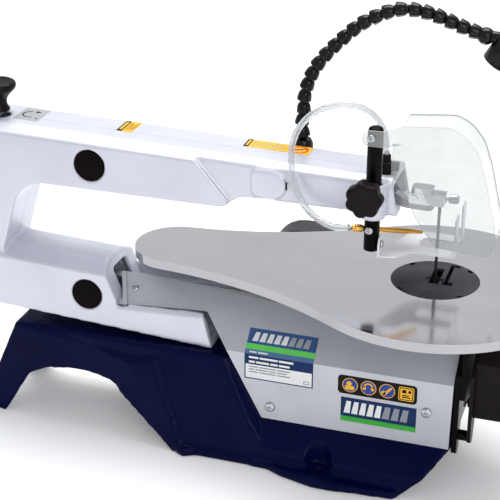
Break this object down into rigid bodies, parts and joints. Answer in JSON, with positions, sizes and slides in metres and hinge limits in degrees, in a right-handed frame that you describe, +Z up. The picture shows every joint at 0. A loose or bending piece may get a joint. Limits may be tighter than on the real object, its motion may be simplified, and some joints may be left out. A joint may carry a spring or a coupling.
{
  "type": "scroll saw",
  "caption": "Bench scroll saw with a C-shaped arm housing on a cast base, tilting keyhole table, pin-end blade, clear guard, air blower and flexible lamp.",
  "frame": {"origin": "bottom centre of the saw's bounding box without the air hose, on the bench", "axes": "+X towards the operator's end with the blade, +Y towards the motor side, +Z up"},
  "size_m": [0.605, 0.255, 0.4442],
  "materials": {
    "silver_paint": "glossy light silver-grey paint",
    "navy_paint": "glossy dark navy paint",
    "sheet_silver": "satin silver paint on folded sheet",
    "cast_aluminium": "satin machined casting",
    "charcoal_plastic": "matte charcoal",
    "black_plastic": "semi-matte black",
    "black_metal": "satin black paint",
    "grey_plastic": "dark grey moulding",
    "steel": "plated steel",
    "chrome": "bright chrome",
    "blade_steel": "dark spring steel",
    "brass": "polished brass",
    "rubber": "matte black rubber",
    "clear_plastic": "clear moulded plastic",
    "clear_hose": "clear flexible hose",
    "red_plastic": "red button",
    "green_plastic": "green button",
    "lens": "frosted lamp lens"
  },
  "bodies": {
    "frame": {"base": "navy_paint", "left_housing": "silver_paint", "right_housing": "silver_paint", "side_cover": "sheet_silver", "cover_screw_1": "steel", "cover_screw_2": "steel", "cover_screw_3": "steel", "upper_left_plug": "black_plastic", "upper_right_plug": "black_plastic", "lower_left_plug": "black_plastic", "lower_right_plug": "black_plastic", "upper_pivot_pin": "steel", "lower_pivot_pin": "steel", "trunnion_bracket": "black_metal", "motor_body": "grey_plastic", "motor_cover": "grey_plastic", "control_box": "black_plastic", "switch_plate": "grey_plastic", "cable_gland": "rubber", "air_pump": "rubber", "air_fitting": "black_plastic", "air_hose": "clear_hose", "lamp_base": "black_plastic"},
    "upper_arm": {"upper_arm": "cast_aluminium", "upper_blade_clamp": "steel"},
    "lower_arm": {"lower_arm": "cast_aluminium", "lower_blade_clamp": "steel"},
    "tension_rod": {"tension_rod": "steel"},
    "tension_knob": {"tension_knob": "black_plastic"},
    "clamp_thumbscrew": {"clamp_thumbscrew": "steel"},
    "blade": {"blade": "blade_steel"},
    "table": {"table": "cast_aluminium", "table_insert": "charcoal_plastic", "table_trunnion": "black_metal"},
    "tilt_lock_knob": {"tilt_lock_knob": "black_plastic"},
    "motor_shaft": {"motor_shaft": "steel"},
    "connecting_rod": {"connecting_rod": "cast_aluminium"},
    "on_button": {"on_button": "green_plastic"},
    "off_button": {"off_button": "red_plastic"},
    "speed_knob": {"speed_knob": "black_plastic"},
    "guard_post": {"guard_post": "black_metal", "nozzle_screw": "steel", "guard_screw": "steel", "air_nozzle": "brass", "foot_screw": "steel"},
    "post_clamp_knob": {"post_clamp_knob": "black_plastic"},
    "hold_down_foot": {"hold_down_foot": "chrome"},
    "blade_guard": {"blade_guard": "clear_plastic"},
    "lamp_neck_lower": {"lamp_neck_lower": "black_plastic"},
    "lamp_neck_upper": {"lamp_neck_upper": "black_plastic"},
    "lamp_head": {"lamp_head": "black_plastic", "lamp_lens": "lens"}
  },
  "joints": [
    {"name": "upper_arm_pivot", "type": "hinge", "parent": "frame", "child": "upper_arm", "pos_m": [-0.1575, -0.00051, 0.277], "axis": [0, 1, 0], "range_deg": [-1.38, 1.38]},
    {"name": "lower_arm_pivot", "type": "hinge", "parent": "frame", "child": "lower_arm", "pos_m": [-0.1645, -0.00051, 0.141], "axis": [0, 1, 0], "range_deg": [-1.5, 1.5]},
    {"name": "tension_rod_pivot", "type": "hinge", "parent": "upper_arm", "child": "tension_rod", "pos_m": [-0.2655, -0.00051, 0.277], "axis": [0, 1, 0], "range_deg": [-1.5, 1.5]},
    {"name": "blade_pin_pivot", "type": "hinge", "parent": "upper_arm", "child": "blade", "pos_m": [0.1755, -0.00051, 0.272], "axis": [0, 1, 0], "range_deg": [-1.5, 1.5]},
    {"name": "tension_knob_turn", "type": "hinge", "parent": "tension_rod", "child": "tension_knob", "pos_m": [-0.2655, -0.00051, 0.327], "axis": [0, 0, 1], "range_deg": [-180, 180]},
    {"name": "clamp_thumbscrew_turn", "type": "hinge", "parent": "upper_arm", "child": "clamp_thumbscrew", "pos_m": [0.1809, -0.00051, 0.276], "axis": [1, 0, 0], "range_deg": [-180, 180]},
    {"name": "table_tilt", "type": "hinge", "parent": "frame", "child": "table", "pos_m": [0.1755, -0.00051, 0.193], "axis": [1, 0, 0], "range_deg": [0, 45]},
    {"name": "tilt_lock_turn", "type": "hinge", "parent": "frame", "child": "tilt_lock_knob", "pos_m": [0.223, 0.06149, 0.121], "axis": [1, 0, 0], "range_deg": [-180, 180]},
    {"name": "motor_shaft_spin", "type": "hinge", "parent": "frame", "child": "motor_shaft", "pos_m": [0.0335, 0.02449, 0.116], "axis": [0, 1, 0], "continuous": true},
    {"name": "connecting_rod_pivot", "type": "hinge", "parent": "lower_arm", "child": "connecting_rod", "pos_m": [0.0335, 0.00849, 0.137], "axis": [0, 1, 0], "range_deg": [-26, 2]},
    {"name": "on_button_press", "type": "slide", "parent": "frame", "child": "on_button", "axis": [-1, 0, 0], "range_m": [0, 0.003], "stiffness_N_per_m": 250},
    {"name": "off_button_press", "type": "slide", "parent": "frame", "child": "off_button", "axis": [-1, 0, 0], "range_m": [0, 0.003], "stiffness_N_per_m": 250},
    {"name": "speed_knob_turn", "type": "hinge", "parent": "frame", "child": "speed_knob", "pos_m": [0.2755, -0.00051, 0.099], "axis": [1, 0, 0], "range_deg": [0, 270]},
    {"name": "guard_post_slide", "type": "slide", "parent": "frame", "child": "guard_post", "axis": [0, 0, 1], "range_m": [-0.025, 0.004]},
    {"name": "post_clamp_turn", "type": "hinge", "parent": "frame", "child": "post_clamp_knob", "pos_m": [0.1185, -0.05151, 0.29], "axis": [0, 1, 0], "range_deg": [-180, 180]},
    {"name": "foot_tilt", "type": "hinge", "parent": "guard_post", "child": "hold_down_foot", "pos_m": [0.13, -0.03851, 0.24], "axis": [1, 0, 0], "range_deg": [0, 10]},
    {"name": "blade_guard_lift", "type": "hinge", "parent": "guard_post", "child": "blade_guard", "pos_m": [0.1197, -0.04551, 0.3425], "axis": [0, -1, 0], "range_deg": [0, 55]},
    {"name": "lamp_base_swivel", "type": "hinge", "parent": "frame", "child": "lamp_neck_lower", "pos_m": [0.0345, 0.03749, 0.3036], "axis": [0, 0, 1], "range_deg": [-10, 40]},
    {"name": "lamp_neck_swivel", "type": "hinge", "parent": "lamp_neck_lower", "child": "lamp_neck_upper", "pos_m": [0.1305, 0.03749, 0.4375], "axis": [1, 0, 0], "range_deg": [-25, 25]},
    {"name": "lamp_head_swivel", "type": "hinge", "parent": "lamp_neck_upper", "child": "lamp_head", "pos_m": [0.2055, 0.03749, 0.417], "axis": [0.9487, 0, -0.3162], "range_deg": [-40, 40]}
  ],
  "couplings": [
    {"joint": "lower_arm_pivot", "follows": "upper_arm_pivot", "ratio": 1},
    {"joint": "tension_rod_pivot", "follows": "upper_arm_pivot", "ratio": -1},
    {"joint": "blade_pin_pivot", "follows": "upper_arm_pivot", "ratio": -1}
  ]
}
